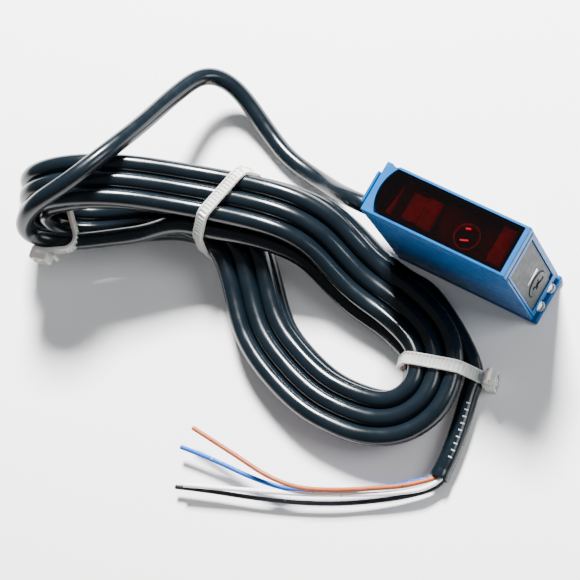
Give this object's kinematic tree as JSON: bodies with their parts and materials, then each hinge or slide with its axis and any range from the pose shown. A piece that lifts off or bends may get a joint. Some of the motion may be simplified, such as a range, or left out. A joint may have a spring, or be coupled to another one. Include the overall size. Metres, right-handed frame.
{
  "type": "photoelectric sensor",
  "caption": "Slim block-shaped optical sensor with a dark red window, a control end with adjuster and indicator domes, and a coiled cable with bare conductors.",
  "frame": {"origin": "middle of the sensor housing's back face, on the surface it stands on", "axes": "+X along the housing towards the control end, +Y across its width, +Z out of the window"},
  "size_m": [0.1637, 0.118, 0.0435],
  "materials": {
    "housing_blue": "blue moulded housing, satin",
    "window_red": "dark red clear acrylic pane, polished",
    "panel_grey": "grey control panel, matt",
    "black_plastic": "black moulded plastic",
    "black_rubber": "black rubber",
    "clear_lens": "clear moulded plastic, polished",
    "red_optics": "red optical plastic",
    "circuit_board": "green circuit board",
    "steel": "bright steel",
    "brass": "turned brass",
    "cable_jacket": "black glossy cable jacket",
    "cable_tie": "milky translucent nylon",
    "wire_brown": "brown conductor insulation",
    "wire_blue": "blue conductor insulation",
    "wire_white": "white conductor insulation",
    "wire_black": "black conductor insulation"
  },
  "bodies": {
    "sensor": {"cable_coil": "cable_jacket", "cable_end_block": "housing_blue", "cable_gland": "black_rubber", "cable_lead": "cable_jacket", "cable_tail": "cable_jacket", "cable_tie_left": "cable_tie", "cable_tie_middle": "cable_tie", "cable_tie_right": "cable_tie", "conductor_black": "wire_black", "conductor_blue": "wire_blue", "conductor_brown": "wire_brown", "conductor_white": "wire_white", "control_panel": "panel_grey", "cover_screw_1": "steel", "cover_screw_2": "steel", "cover_screw_3": "steel", "cover_screw_4": "steel", "emitter_chip": "black_plastic", "emitter_lens": "red_optics", "emitter_prism": "red_optics", "filter_plate": "red_optics", "front_frame": "housing_blue", "front_window": "window_red", "gland_seal": "black_rubber", "housing": "housing_blue", "main_board": "circuit_board", "mounting_insert_1": "brass", "mounting_insert_2": "brass", "optics_carrier": "black_plastic", "output_led": "clear_lens", "output_light_lens": "clear_lens", "output_transistor": "black_plastic", "potentiometer": "steel", "power_led": "clear_lens", "power_light_lens": "clear_lens", "rear_cover": "housing_blue", "rear_cover_seal": "black_rubber", "receiver_chip": "black_plastic", "receiver_lens": "red_optics", "receiver_prism": "red_optics", "side_board": "circuit_board", "wire_terminal": "clear_lens"},
    "adjuster": {"sensitivity_knob": "black_plastic"}
  },
  "joints": [
    {"name": "sensitivity_turn", "type": "hinge", "parent": "sensor", "child": "adjuster", "pos_m": [0.02325, 0, 0.0147], "axis": [1, 0, 0], "range_deg": [-135, 135]}
  ]
}
